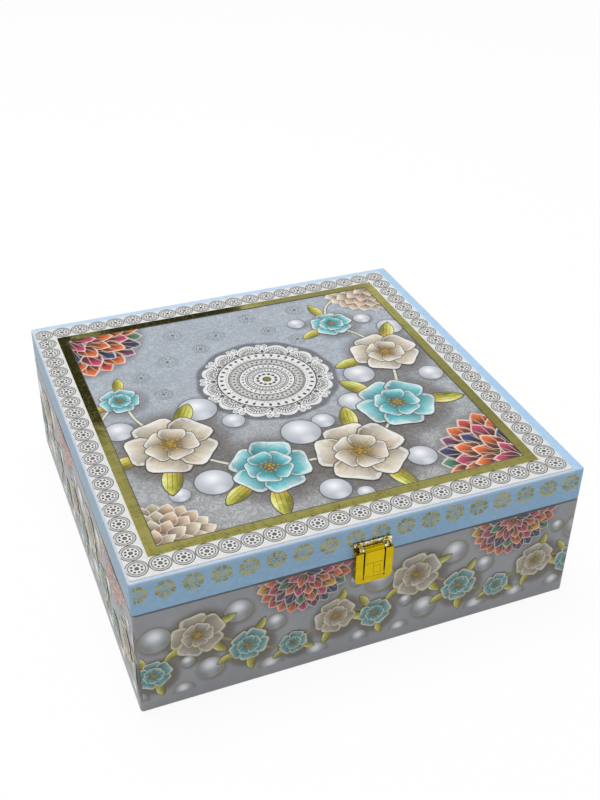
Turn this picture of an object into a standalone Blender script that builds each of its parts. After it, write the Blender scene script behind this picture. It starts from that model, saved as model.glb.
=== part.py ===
"""Square hinged gift hamper box: paper-wrapped boards, two butt hinges and a front latch.

Metres, +Z up. The origin is the centre of the bottom face, and the latch faces -Y.
"""
import math

import bmesh
import bpy
from mathutils import Matrix, Vector

# Outer box
box_width = 0.254
box_depth = 0.254
box_height = 0.0912
lid_height = 0.0217
seam_gap = 0.0004
fit_gap = 0.0003
cut_overrun = 0.001
weld_distance = 0.000003

# Boards
wall_thickness = 0.005
floor_thickness = 0.003
top_thickness = 0.003

# Papers and linings
wrap_thickness = 0.0004
print_thickness = 0.0003
bottom_sheet_thickness = 0.0004
lining_thickness = 0.0004
floor_lining_thickness = 0.001

# Edges of the wrapped box
corner_radius = 0.0018
top_edge_radius = 0.0010
bottom_edge_radius = 0.0012
rim_edge_radius = 0.0006
bottom_turn_in = 0.012
top_turn_over = 0.016
bottom_sheet_margin = 0.006

# Printed sheet on the lid, glued a little towards the front left
print_size = 0.2459
print_shift_x = -0.0029
print_shift_y = -0.0021
print_corner_radius = 0.0012

# Butt hinges on the back
hinge_spacing = 0.150
hinge_leaf_width = 0.024
hinge_leaf_height = 0.0125
hinge_leaf_thickness = 0.0008
hinge_knuckle_radius = 0.0017
hinge_pin_radius = 0.0007
hinge_middle_knuckle = 0.009
hinge_screw_spacing = 0.0145
hinge_screw_height = 0.0075
hinge_screw_head_radius = 0.0014
hinge_screw_head_height = 0.0005
hinge_screw_radius = 0.0008
hinge_screw_length = 0.0052

# Latch on the front
latch_hinge_rise = 0.0061
latch_knuckle_radius = 0.0015
latch_pin_radius = 0.0006
latch_outer_knuckle = 0.0026
latch_plate_width = 0.0216
latch_plate_thickness = 0.0006
latch_plate_corner = 0.0008
latch_plate_border = 0.0005
latch_nail_spacing = 0.0160
latch_nail_head_radius = 0.0009
latch_nail_head_height = 0.0005
latch_nail_radius = 0.00045
latch_nail_length = 0.0048

# Flap of the latch
flap_width = 0.021
flap_length = 0.0215
flap_depth = 0.004
flap_sheet = 0.0007
flap_rail_drop = 0.0009
flap_tongue_width = 0.0108
flap_slot_width = 0.0009
flap_web_height = 0.0026
flap_corner_radius = 0.0038

# Catch under the flap
catch_width = 0.0094
catch_height = 0.0105
catch_drop = 0.0015
catch_stud_radius = 0.0019
catch_stud_rise = 0.0035
catch_nail_spacing = 0.006
catch_nail_drop = 0.002

# Facets of the round shapes
smooth_angle = math.radians(30)
corner_steps = 5
edge_steps = 3
barrel_sides = 20
turned_steps = 16
dome_steps = 3

# Heights of the layers, from the floor up
seam_height = box_height - lid_height
wrap_low = bottom_sheet_thickness + fit_gap
floor_low = wrap_low + wrap_thickness + fit_gap
floor_high = floor_low + floor_thickness
base_high = seam_height - seam_gap / 2
base_wall_low = floor_high + fit_gap
base_wall_high = base_high - wrap_thickness - fit_gap
floor_lining_high = floor_high + fit_gap + floor_lining_thickness
lid_low = seam_height + seam_gap / 2
lid_wrap_high = box_height - print_thickness - fit_gap
top_high = lid_wrap_high - wrap_thickness - fit_gap
top_low = top_high - top_thickness
rail_low = lid_low + wrap_thickness + fit_gap
rail_high = top_low - fit_gap
top_lining_high = top_low - fit_gap
top_lining_low = top_lining_high - lining_thickness

# Half sizes, from the outside in
half_width = box_width / 2
half_depth = box_depth / 2
board_inset = wrap_thickness + fit_gap
wall_inner_inset = board_inset + wall_thickness
lining_inset = wall_inner_inset + fit_gap
inside_inset = lining_inset + lining_thickness
board_corner_radius = corner_radius - board_inset

# Joint axes
hinge_axis = Vector((0, half_depth + fit_gap + hinge_knuckle_radius, seam_height))
latch_axis = Vector((0, -half_depth - fit_gap - latch_knuckle_radius, seam_height + latch_hinge_rise))

# Faces of the latch, measured outwards from the front of the box
plate_front = -half_depth - fit_gap - latch_plate_thickness
nail_seat = plate_front - fit_gap
flap_front = -half_depth - flap_depth
flap_back = plate_front - fit_gap


def clear_scene():
    """Remove what the file holds, so that the script can run again."""
    for item in list(bpy.data.objects):
        bpy.data.objects.remove(item, do_unlink=True)
    for group in list(bpy.data.collections):
        bpy.data.collections.remove(group)


def new_collection(name):
    group = bpy.data.collections.new(name)
    bpy.context.scene.collection.children.link(group)
    return group


def finish(name, colour, roughness, metallic=0.0):
    """A plain Principled material."""
    material = bpy.data.materials.new(name)
    material.use_nodes = True
    shader = material.node_tree.nodes["Principled BSDF"]
    shader.inputs["Base Color"].default_value = (*colour, 1.0)
    shader.inputs["Roughness"].default_value = roughness
    shader.inputs["Metallic"].default_value = metallic
    material.diffuse_color = (*colour, 1.0)
    return material


def add_object(name, mesh, location, group):
    piece = bpy.data.objects.new(name, mesh)
    piece.location = location
    group.objects.link(piece)
    return piece


def add_part(name, mesh, location, material, parent):
    """A piece of the box, riding on its body's empty."""
    mesh.materials.append(material)
    piece = add_object(name, mesh, location, parts)
    piece.parent = parent
    piece.matrix_parent_inverse = Matrix.Translation(-bodies[parent.name])
    return piece


def add_cutter(name, mesh, location):
    """A guide for a Boolean, left out of the model."""
    piece = add_object(name, mesh, location, cutters)
    piece.hide_render = True
    piece.display_type = "WIRE"
    return piece


def cut(piece, cutter, operation="DIFFERENCE"):
    modifier = piece.modifiers.new(cutter.name, "BOOLEAN")
    modifier.operation = operation
    modifier.solver = "EXACT"
    modifier.object = cutter


def to_mesh(sketch, name):
    """Turn a finished sketch into a mesh whose faces point out."""
    mesh = bpy.data.meshes.new(name)
    bmesh.ops.recalc_face_normals(sketch, faces=sketch.faces)
    sketch.to_mesh(mesh)
    sketch.free()
    return mesh


def shade_round(piece):
    piece.data.shade_smooth()
    piece.data.set_sharp_from_angle(angle=smooth_angle)


def upright_edges(sketch, side):
    """The vertical edges of a box, or only those on one side of it."""
    found = []
    for edge in sketch.edges:
        first, second = (vertex.co for vertex in edge.verts)
        middle = (first + second) / 2
        upright = abs((first - second).normalized().z) > 0.5
        if upright and (side is None or middle.dot(side) > 0):
            found.append(edge)
    return found


def level_edges(sketch, top):
    """The edges that bound a box's top or bottom face."""
    flat = [face for face in sketch.faces if abs(face.normal.z) > 0.5]
    chosen = max(flat, key=lambda face: face.calc_center_median().z * (1 if top else -1))
    return list(chosen.edges)


def box_mesh(name, low, high, corner=0, top_edge=0, bottom_edge=0, side=None):
    """A box between two corners, centred on itself, with rounded edges where a radius is given."""
    size = Vector(high) - Vector(low)
    sketch = bmesh.new()
    bmesh.ops.create_cube(sketch, size=1, matrix=Matrix.Diagonal((*size, 1)))
    if corner > 0:
        bmesh.ops.bevel(sketch, geom=upright_edges(sketch, side), offset=corner,
                        segments=corner_steps, profile=0.5, affect="EDGES")
    for radius, top in ((top_edge, True), (bottom_edge, False)):
        if radius > 0:
            sketch.normal_update()
            bmesh.ops.bevel(sketch, geom=level_edges(sketch, top), offset=radius,
                            segments=edge_steps, profile=0.5, affect="EDGES")
    return to_mesh(sketch, name)


def box_part(name, low, high, material, parent, **edges):
    middle = (Vector(low) + Vector(high)) / 2
    return add_part(name, box_mesh(name, low, high, **edges), middle, material, parent)


def box_cutter(name, low, high, **edges):
    middle = (Vector(low) + Vector(high)) / 2
    return add_cutter(name, box_mesh(name, low, high, **edges), middle)


def rod_mesh(name, radius, spans):
    """Cylinders along X, one for each span of X, joined in one mesh."""
    sketch = bmesh.new()
    for start, end in spans:
        place = Matrix.Translation(((start + end) / 2, 0, 0)) @ Matrix.Rotation(math.pi / 2, 4, "Y")
        bmesh.ops.create_cone(sketch, cap_ends=True, segments=barrel_sides, radius1=radius,
                              radius2=radius, depth=end - start, matrix=place)
    return to_mesh(sketch, name)


def turned_part(name, profile, material, parent, location, rotation):
    """A solid of revolution about its own Z, from a profile that runs down its outer side."""
    mesh = bpy.data.meshes.new(name)
    points = [(radius, 0, height) for radius, height in profile]
    mesh.from_pydata(points, [(step, step + 1) for step in range(len(points) - 1)], [])
    piece = add_part(name, mesh, location, material, parent)
    piece.rotation_euler = rotation
    screw = piece.modifiers.new("turn", "SCREW")
    screw.axis = "Z"
    screw.steps = turned_steps
    screw.render_steps = turned_steps
    screw.use_merge_vertices = True
    screw.merge_threshold = weld_distance
    screw.use_smooth_shade = True
    return piece


def dome(radius, height):
    """Points of a low domed head, from its crown to its rim."""
    points = []
    for step in range(dome_steps + 1):
        angle = math.pi / 2 * step / dome_steps
        points.append((radius * math.sin(angle), height * (1 + math.cos(angle)) / 2))
    return points


def fastener(name, x, y, z, facing, head, shank, material, parent):
    """A nail or screw driven square into the front (-1) or the back (+1) of the box."""
    head_radius, head_height = head
    shank_radius, shank_length = shank
    profile = dome(head_radius, head_height)
    profile += [(head_radius, 0), (shank_radius, 0)]
    profile += [(shank_radius, shank_radius - shank_length), (0, -shank_length)]
    return turned_part(name, profile, material, parent, (x, y, z), (-facing * math.pi / 2, 0, 0))


def drill(piece, places, radius, near, far):
    """Holes along Y through a piece, all cut by one cutter."""
    sketch = bmesh.new()
    for x, z in places:
        place = Matrix.Translation((x, (near + far) / 2, z)) @ Matrix.Rotation(math.pi / 2, 4, "X")
        bmesh.ops.create_cone(sketch, cap_ends=True, segments=turned_steps, radius1=radius,
                              radius2=radius, depth=abs(far - near), matrix=place)
    name = piece.name + "_holes_" + str(len(piece.modifiers))
    cut(piece, add_cutter(name, to_mesh(sketch, name), (0, 0, 0)))


def outline_solid(name, points, thickness):
    """A flat closed outline in X and Z, thickened along Y and made a mesh that can be cut."""
    curve = bpy.data.curves.new(name + "_outline", "CURVE")
    curve.dimensions = "2D"
    curve.fill_mode = "BOTH"
    curve.extrude = thickness / 2
    spline = curve.splines.new("POLY")
    spline.points.add(len(points) - 1)
    for point, (x, z) in zip(spline.points, points):
        point.co = (x, z, 0, 1)
    spline.use_cyclic_u = True
    drawn = add_object(name + "_outline", curve, (0, 0, 0), cutters)
    bpy.context.view_layer.update()
    graph = bpy.context.evaluated_depsgraph_get()
    mesh = bpy.data.meshes.new_from_object(drawn.evaluated_get(graph))
    bpy.data.objects.remove(drawn, do_unlink=True)
    sketch = bmesh.new()
    sketch.from_mesh(mesh)
    bpy.data.meshes.remove(mesh)
    bmesh.ops.remove_doubles(sketch, verts=sketch.verts, dist=weld_distance)
    bmesh.ops.transform(sketch, matrix=Matrix.Rotation(math.pi / 2, 4, "X"), verts=sketch.verts)
    return to_mesh(sketch, name)


def wrapped_paper(name, low, high, inner_low, inner_high, top_edge, bottom_edge, material, parent):
    """Paper round a board box: rounded outside, hollow, and open inside its turned-in edges."""
    outer_low = Vector((-half_width, -half_depth, low))
    outer_high = Vector((half_width, half_depth, high))
    paper = box_part(name, outer_low, outer_high, material, parent, corner=corner_radius,
                     top_edge=top_edge, bottom_edge=bottom_edge)
    skin = Vector((wrap_thickness, wrap_thickness, wrap_thickness))
    cut(paper, box_cutter(name + "_hollow", outer_low + skin, outer_high - skin,
                          corner=corner_radius - wrap_thickness,
                          top_edge=top_edge - wrap_thickness,
                          bottom_edge=bottom_edge - wrap_thickness))
    middle = (low + high) / 2
    ends = ((low - cut_overrun, inner_low, "low"), (high + cut_overrun, inner_high, "high"))
    for level, inset, end in ends:
        window_low = (inset - half_width, inset - half_depth, min(level, middle))
        window_high = (half_width - inset, half_depth - inset, max(level, middle))
        cut(paper, box_cutter(name + "_window_" + end, window_low, window_high))
    return paper


def lining_ring(name, low, high, material, parent):
    """Lining paper round the inside of the boards."""
    sketch = bmesh.new()
    size = (2 * (half_width - lining_inset), 2 * (half_depth - lining_inset), high - low, 1)
    bmesh.ops.create_cube(sketch, size=1, matrix=Matrix.Diagonal(size))
    ends = [face for face in sketch.faces if abs(face.normal.z) > 0.5]
    bmesh.ops.delete(sketch, geom=ends, context="FACES_ONLY")
    ring = add_part(name, to_mesh(sketch, name), (0, 0, (low + high) / 2), material, parent)
    solid = ring.modifiers.new("paper", "SOLIDIFY")
    solid.thickness = lining_thickness
    solid.offset = -1
    solid.use_even_offset = True
    return ring


def board_walls(prefix, kind, low, high, parent):
    """Front and back boards across the full width, side boards butted between them."""
    outer_x = half_width - board_inset
    outer_y = half_depth - board_inset
    inner_y = outer_y - wall_thickness
    walls = {}
    for end, sign in (("front", -1), ("back", 1)):
        near, far = sorted((sign * outer_y, sign * inner_y))
        walls[end] = box_part(f"{prefix}_{end}_{kind}", (-outer_x, near, low), (outer_x, far, high),
                              board, parent, corner=board_corner_radius, side=Vector((0, sign, 0)))
    side_y = inner_y - fit_gap
    for end, sign in (("left", -1), ("right", 1)):
        near, far = sorted((sign * outer_x, sign * (outer_x - wall_thickness)))
        walls[end] = box_part(f"{prefix}_{end}_{kind}", (near, -side_y, low), (far, side_y, high),
                              board, parent)
    return walls


def build_base():
    """Floor, walls, outer paper, bottom sheet and linings of the lower half."""
    outer_x = half_width - board_inset
    outer_y = half_depth - board_inset
    box_part("base_floor_board", (-outer_x, -outer_y, floor_low), (outer_x, outer_y, floor_high),
             board, base, corner=board_corner_radius, bottom_edge=bottom_edge_radius - board_inset)
    walls = board_walls("base", "board", base_wall_low, base_wall_high, base)
    paper = wrapped_paper("base_wrap", wrap_low, base_high, bottom_turn_in, inside_inset,
                          rim_edge_radius, bottom_edge_radius, base_print, base)
    sheet_x = half_width - bottom_sheet_margin
    sheet_y = half_depth - bottom_sheet_margin
    box_part("base_bottom_sheet", (-sheet_x, -sheet_y, 0), (sheet_x, sheet_y, bottom_sheet_thickness),
             plain_paper, base)
    lining_x = half_width - lining_inset
    lining_y = half_depth - lining_inset
    box_part("base_floor_lining", (-lining_x, -lining_y, floor_high + fit_gap),
             (lining_x, lining_y, floor_lining_high), lining, base)
    lining_ring("base_wall_lining", floor_lining_high + fit_gap, base_wall_high, lining, base)
    return walls, paper


def build_lid():
    """Top board, rails, outer paper, printed sheet and linings of the upper half."""
    outer_x = half_width - board_inset
    outer_y = half_depth - board_inset
    box_part("lid_top_board", (-outer_x, -outer_y, top_low), (outer_x, outer_y, top_high),
             board, lid, corner=board_corner_radius, top_edge=top_edge_radius - board_inset)
    rails = board_walls("lid", "rail", rail_low, rail_high, lid)
    paper = wrapped_paper("lid_wrap", lid_low, lid_wrap_high, inside_inset, top_turn_over,
                          top_edge_radius, rim_edge_radius, lid_paper, lid)
    half_print = print_size / 2
    box_part("lid_top_print",
             (print_shift_x - half_print, print_shift_y - half_print, box_height - print_thickness),
             (print_shift_x + half_print, print_shift_y + half_print, box_height),
             top_print, lid, corner=print_corner_radius)
    lining_x = half_width - lining_inset
    lining_y = half_depth - lining_inset
    box_part("lid_top_lining", (-lining_x, -lining_y, top_lining_low),
             (lining_x, lining_y, top_lining_high), lining, lid)
    lining_ring("lid_rail_lining", rail_low, top_lining_low - fit_gap, lining, lid)
    return rails, paper


def hinge_leaf(name, centre_x, upward, parent):
    """One leaf of a butt hinge: a plate with its knuckles, notched round the other leaf's."""
    half_leaf = hinge_leaf_width / 2
    half_middle = hinge_middle_knuckle / 2
    inner = hinge_axis.y - hinge_knuckle_radius
    seam = hinge_axis.z
    near, far = sorted((seam, seam + upward * hinge_leaf_height))
    leaf = box_part(name, (centre_x - half_leaf, inner, near),
                    (centre_x + half_leaf, inner + hinge_leaf_thickness, far), brass, parent)
    notch = hinge_knuckle_radius + fit_gap
    if upward > 0:
        spans = [(-half_middle, half_middle)]
        gaps = [(-half_leaf - cut_overrun, -half_middle), (half_middle, half_leaf + cut_overrun)]
    else:
        spans = [(-half_leaf, -half_middle - fit_gap), (half_middle + fit_gap, half_leaf)]
        gaps = [(-half_middle - fit_gap, half_middle + fit_gap)]
    for number, (start, end) in enumerate(gaps):
        low = (centre_x + start, inner - cut_overrun, seam - notch)
        high = (centre_x + end, inner + hinge_leaf_thickness + cut_overrun, seam + notch)
        cut(leaf, box_cutter(f"{name}_notch_{number}", low, high))
    place = (centre_x, hinge_axis.y, seam)
    knuckles = rod_mesh(name + "_knuckles", hinge_knuckle_radius, spans)
    cut(leaf, add_cutter(name + "_knuckles", knuckles, place), "UNION")
    reach = half_leaf + cut_overrun
    bore = rod_mesh(name + "_bore", hinge_pin_radius + fit_gap, [(-reach, reach)])
    cut(leaf, add_cutter(name + "_bore", bore, place))
    return leaf


def build_hinges(base_walls, base_paper, lid_rails, lid_paper_wrap):
    """Two butt hinges screwed to the outside of the back."""
    head = (hinge_screw_head_radius, hinge_screw_head_height)
    shank = (hinge_screw_radius, hinge_screw_length)
    seat = hinge_axis.y - hinge_knuckle_radius + hinge_leaf_thickness + fit_gap
    hole_radius = hinge_screw_radius + fit_gap
    halves = ((-1, base, base_walls["back"], base_paper), (1, lid, lid_rails["back"], lid_paper_wrap))
    for upward, parent, board_piece, paper in halves:
        half_name = "lid" if upward > 0 else "base"
        places = []
        for side, sign in (("left", -1), ("right", 1)):
            centre_x = sign * hinge_spacing / 2
            leaf = hinge_leaf(f"{side}_hinge_{half_name}_leaf", centre_x, upward, parent)
            height = hinge_axis.z + upward * hinge_screw_height
            own = [(centre_x + offset * hinge_screw_spacing / 2, height) for offset in (-1, 1)]
            for number, (x, z) in enumerate(own, 1):
                screw_name = f"{side}_hinge_{half_name}_screw_{number}"
                fastener(screw_name, x, seat, z, 1, head, shank, brass, parent)
            drill(leaf, own, hole_radius, half_depth - cut_overrun, seat + cut_overrun)
            places += own
        for piece in (board_piece, paper):
            drill(piece, places, hole_radius, seat - hinge_screw_length - fit_gap, seat + cut_overrun)
    for side, sign in (("left", -1), ("right", 1)):
        pin(f"{side}_hinge_pin", hinge_pin_radius, hinge_leaf_width / 2,
            hinge_axis + Vector((sign * hinge_spacing / 2, 0, 0)), brass, base)


def pin(name, radius, half_length, place, material, parent):
    """A hinge pin with rounded ends, along X."""
    ends = dome(radius, radius)
    profile = [(r, half_length - radius + h) for r, h in ends]
    profile += [(r, -(half_length - radius + h)) for r, h in reversed(ends)]
    return turned_part(name, profile, material, parent, place, (0, math.pi / 2, 0))


def foot_corner(sign, radius):
    """A rounded lower corner of the flap, from its side down to its foot."""
    centre_x = sign * (flap_width / 2 - flap_corner_radius)
    centre_z = latch_axis.z - flap_length + flap_corner_radius
    points = []
    for step in range(corner_steps + 1):
        angle = math.pi / 2 * step / corner_steps
        points.append((centre_x + sign * radius * math.cos(angle), centre_z - radius * math.sin(angle)))
    return points


def flap_outline():
    """Front view of the flap: two rails, the tongue between its slots, and the rounded foot."""
    outer = flap_width / 2
    tongue = flap_tongue_width / 2
    slot = tongue + flap_slot_width
    rail_top = latch_axis.z - flap_rail_drop
    slot_foot = latch_axis.z - flap_length + flap_web_height
    points = foot_corner(-1, flap_corner_radius) + foot_corner(1, flap_corner_radius)[::-1]
    points += [(outer, rail_top), (slot, rail_top), (slot, slot_foot), (tongue, slot_foot)]
    points += [(tongue, rail_top), (-tongue, rail_top), (-tongue, slot_foot), (-slot, slot_foot)]
    points += [(-slot, rail_top), (-outer, rail_top)]
    return points


def flap_wall_outline(sign):
    """Front view of a side wall of the flap, which follows its rounded corner down to the foot."""
    outer = flap_width / 2
    rail_top = latch_axis.z - flap_rail_drop
    points = [(sign * outer, rail_top)] + foot_corner(sign, flap_corner_radius)
    points += foot_corner(sign, flap_corner_radius - flap_sheet)[::-1]
    points.append((sign * (outer - flap_sheet), rail_top))
    return points


def build_flap():
    """The pressed flap: its front sheet, two side walls, and the tongue's curl round the pin."""
    sheet = outline_solid("latch_flap", flap_outline(), flap_sheet)
    flap = add_part("latch_flap", sheet, (0, flap_front + flap_sheet / 2, 0), gold, latch)
    rail_top = latch_axis.z - flap_rail_drop
    wall_front = flap_front + flap_sheet / 2
    for side, sign in (("left", -1), ("right", 1)):
        wall = outline_solid(f"latch_flap_{side}_wall", flap_wall_outline(sign), flap_back - wall_front)
        place = (0, (wall_front + flap_back) / 2, 0)
        cut(flap, add_cutter(f"latch_flap_{side}_wall", wall, place), "UNION")
    half_tongue = flap_tongue_width / 2
    sheet_front = flap_front
    sheet_back = flap_front + flap_sheet
    curl_top = latch_axis.z + latch_knuckle_radius
    neck = [(sheet_front, rail_top - flap_sheet), (sheet_front, latch_axis.z - latch_knuckle_radius),
            (latch_axis.y, curl_top), (latch_axis.y, latch_axis.z),
            (sheet_back, rail_top), (sheet_back, rail_top - flap_sheet)]
    neck_mesh = outline_solid("latch_flap_neck", neck, flap_tongue_width)
    neck_piece = add_cutter("latch_flap_neck", neck_mesh, (0, 0, 0))
    neck_piece.rotation_euler = (0, 0, math.pi / 2)
    cut(flap, neck_piece, "UNION")
    curl = rod_mesh("latch_flap_curl", latch_knuckle_radius, [(-half_tongue, half_tongue)])
    cut(flap, add_cutter("latch_flap_curl", curl, latch_axis), "UNION")
    reach = half_tongue + cut_overrun
    bore = rod_mesh("latch_flap_bore", latch_pin_radius + fit_gap, [(-reach, reach)])
    cut(flap, add_cutter("latch_flap_bore", bore, latch_axis))


def build_latch_plate(lid_rails, lid_paper_wrap):
    """Plate nailed to the lid's front, with the two outer knuckles that carry the pin."""
    half_plate = latch_plate_width / 2
    nail_z = latch_axis.z + latch_knuckle_radius + fit_gap + latch_nail_head_radius
    plate_low = lid_low + fit_gap
    plate_high = nail_z + latch_nail_head_radius + latch_plate_border
    back = -half_depth - fit_gap
    points = rounded_outline(half_plate, plate_low, plate_high, latch_plate_corner)
    sheet = outline_solid("latch_plate", points, latch_plate_thickness)
    plate = add_part("latch_plate", sheet, (0, (back + plate_front) / 2, 0), gold, lid)
    window_x = flap_tongue_width / 2 + fit_gap
    window_z = latch_knuckle_radius + fit_gap
    window_low = (-window_x, plate_front - cut_overrun, latch_axis.z - window_z)
    window_high = (window_x, back + cut_overrun, latch_axis.z + window_z)
    cut(plate, box_cutter("latch_plate_window", window_low, window_high))
    knuckle_end = window_x + latch_outer_knuckle
    spans = [(-knuckle_end, -window_x), (window_x, knuckle_end)]
    knuckles = rod_mesh("latch_plate_knuckles", latch_knuckle_radius, spans)
    cut(plate, add_cutter("latch_plate_knuckles", knuckles, latch_axis), "UNION")
    reach = knuckle_end + cut_overrun
    bore = rod_mesh("latch_plate_bore", latch_pin_radius + fit_gap, [(-reach, reach)])
    cut(plate, add_cutter("latch_plate_bore", bore, latch_axis))
    nails = [(side * latch_nail_spacing / 2, nail_z) for side in (-1, 1)]
    nail_pieces("latch_plate_nail", nails, (plate, lid_rails["front"], lid_paper_wrap), lid)
    pin("latch_pin", latch_pin_radius, knuckle_end, latch_axis, gold, lid)


def rounded_outline(half, low, high, radius):
    """A rectangle about X = 0 with rounded corners, as points in X and Z."""
    points = []
    corners = ((1, high, 0), (-1, high, 1), (-1, low, 2), (1, low, 3))
    for side, level, quarter in corners:
        centre_x = side * (half - radius)
        centre_z = level - radius if level == high else level + radius
        for step in range(edge_steps + 1):
            angle = math.pi / 2 * (quarter + step / edge_steps)
            points.append((centre_x + radius * math.cos(angle), centre_z + radius * math.sin(angle)))
    return points


def nail_pieces(name, places, pierced, parent):
    """Nails through a plate into the board behind it, with their holes."""
    head = (latch_nail_head_radius, latch_nail_head_height)
    shank = (latch_nail_radius, latch_nail_length)
    for number, (x, z) in enumerate(places, 1):
        fastener(f"{name}_{number}", x, nail_seat, z, -1, head, shank, gold, parent)
    for piece in pierced:
        drill(piece, places, latch_nail_radius + fit_gap, nail_seat - cut_overrun,
              nail_seat + latch_nail_length + fit_gap)


def build_catch(base_walls, base_paper):
    """Catch plate on the base, with the stud that the flap's tongue snaps over."""
    high = base_high - catch_drop
    low = high - catch_height
    back = -half_depth - fit_gap
    points = rounded_outline(catch_width / 2, low, high, latch_plate_corner)
    sheet = outline_solid("catch_plate", points, latch_plate_thickness)
    plate = add_part("catch_plate", sheet, (0, (back + plate_front) / 2, 0), gold, base)
    stud_z = low + catch_stud_rise
    stud_height = nail_seat - (flap_front + flap_sheet) - fit_gap
    fastener("catch_stud", 0, nail_seat, stud_z, -1, (catch_stud_radius, stud_height),
             (latch_nail_radius, latch_nail_length), gold, base)
    nails = [(side * catch_nail_spacing / 2, high - catch_nail_drop) for side in (-1, 1)]
    pierced = (plate, base_walls["front"], base_paper)
    nail_pieces("catch_nail", nails, pierced, base)
    for piece in pierced:
        drill(piece, [(0, stud_z)], latch_nail_radius + fit_gap, nail_seat - cut_overrun,
              nail_seat + latch_nail_length + fit_gap)


clear_scene()
parts = new_collection("gift_hamper_box")
cutters = new_collection("cutters")

board = finish("fibreboard", (0.46, 0.33, 0.20), 0.85)
base_print = finish("base_printed_paper", (0.22, 0.22, 0.23), 0.45)
lid_paper = finish("lid_blue_paper", (0.25, 0.40, 0.62), 0.5)
top_print = finish("top_printed_sheet", (0.62, 0.62, 0.60), 0.45)
plain_paper = finish("bottom_paper", (0.55, 0.54, 0.52), 0.8)
lining = finish("lining_paper", (0.78, 0.76, 0.72), 0.8)
gold = finish("gold_plated_steel", (0.80, 0.56, 0.06), 0.22, 1.0)
brass = finish("hinge_brass_plating", (0.70, 0.52, 0.20), 0.3, 1.0)

bodies = {"base_frame": Vector((0, 0, 0)), "lid_hinge_line": hinge_axis, "latch_hinge_line": latch_axis}
base = add_object("base_frame", None, bodies["base_frame"], parts)
lid = add_object("lid_hinge_line", None, bodies["lid_hinge_line"], parts)
latch = add_object("latch_hinge_line", None, bodies["latch_hinge_line"], parts)
latch.parent = lid
latch.matrix_parent_inverse = Matrix.Translation(-bodies["lid_hinge_line"])

base_walls, base_paper = build_base()
lid_rails, lid_paper_wrap = build_lid()
build_hinges(base_walls, base_paper, lid_rails, lid_paper_wrap)
build_latch_plate(lid_rails, lid_paper_wrap)
build_catch(base_walls, base_paper)
build_flap()

for piece in parts.objects:
    if piece.type == "MESH" and not any(modifier.type == "SCREW" for modifier in piece.modifiers):
        shade_round(piece)
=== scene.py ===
import random
from functools import partial, reduce
from math import atan2, cos, pi, radians, sin, sqrt

import bmesh
import bpy
from mathutils import Matrix, Vector


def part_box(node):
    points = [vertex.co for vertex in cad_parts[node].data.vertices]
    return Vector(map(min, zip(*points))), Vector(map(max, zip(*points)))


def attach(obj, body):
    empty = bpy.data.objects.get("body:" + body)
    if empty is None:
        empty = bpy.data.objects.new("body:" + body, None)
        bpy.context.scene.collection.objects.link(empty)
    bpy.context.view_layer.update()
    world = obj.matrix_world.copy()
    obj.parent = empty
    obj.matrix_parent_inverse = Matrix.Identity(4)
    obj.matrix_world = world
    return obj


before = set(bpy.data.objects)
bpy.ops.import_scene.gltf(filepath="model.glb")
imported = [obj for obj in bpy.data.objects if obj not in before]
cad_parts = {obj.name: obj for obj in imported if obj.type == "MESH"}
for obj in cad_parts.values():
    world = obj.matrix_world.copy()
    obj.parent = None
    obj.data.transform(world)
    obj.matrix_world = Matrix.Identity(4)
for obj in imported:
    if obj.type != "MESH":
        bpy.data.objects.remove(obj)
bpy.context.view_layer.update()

# The looks of a square gift hamper box: its papers, foil ornament, printed flowers and metal fittings.

mm = 0.001
scene = bpy.context.scene
Socket = bpy.types.NodeSocket

# Faces of the box, from the frame
lid_low, lid_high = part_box("lid_wrap")
base_low, base_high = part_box("base_wrap")
print_low, print_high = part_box("lid_top_print")
box_width = lid_high.x - lid_low.x
half_width = box_width / 2
print_middle = (print_low + print_high) / 2 + Vector((-0.5 * mm, 0.2 * mm, 0))

# Thin layers of ink and foil
layer = 0.03 * mm
sunk = 0.01 * mm
foil_thickness = 0.06 * mm

# Camera, as it stood when the photograph was taken
camera_turn = radians(-22.405)
camera_rise = radians(34.008)
camera_roll = radians(0.999)
camera_distance = 2.7353 * box_width
aim_right = 0.0443 * box_width
aim_up = 0.2782 * box_width
lens = 48.58

# Light and floor
sky_strength = 0.42
key_strength = 22.6
key_size = 1.1
key_place = Vector((-0.18, 0.30, 1.85))
floor_tone = 0.7
floor_glow = 0.93
floor_half = 6.0

# Lid print
border_pitch = 11.72 * mm
border_count = 20
foil_outer_half = 110.1 * mm
foil_band = 6.1 * mm
foil_frame_height = 12 * layer
field_half = foil_outer_half - foil_band
mandala_place = Vector((-1.0 * mm, 18.2 * mm))
mandala_radius = 40.7 * mm
mandala_growth = 1.028

# Lid edge foil flowers
flower_count = 18
flower_pitch = 14.29 * mm
flower_first = -123.9 * mm
flower_height = 82.7 * mm
flat_half = 125.4 * mm

# Base print: one cell, twice along each side, above a plain strip
cell_length = 123 * mm
plain_strip = 8.5 * mm

# Levels of the printed motifs, in layers, and the seed of the blossoms' small differences
pearl_level, leaf_level, blossom_level, stamen_level = 2, 4, 6, 16
blossom_seed = 11

# Directions in a drawing, towards which it is cut
left, right, down, up = (-1, 0, 0), (1, 0, 0), (0, -1, 0), (0, 1, 0)


# Colours and node helpers

def tone(red, green, blue):
    """The linear colour of a screen colour."""
    shares = [value / 255 for value in (red, green, blue)]
    return (*[s / 12.92 if s <= 0.04045 else ((s + 0.055) / 1.055) ** 2.4 for s in shares], 1.0)


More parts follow.
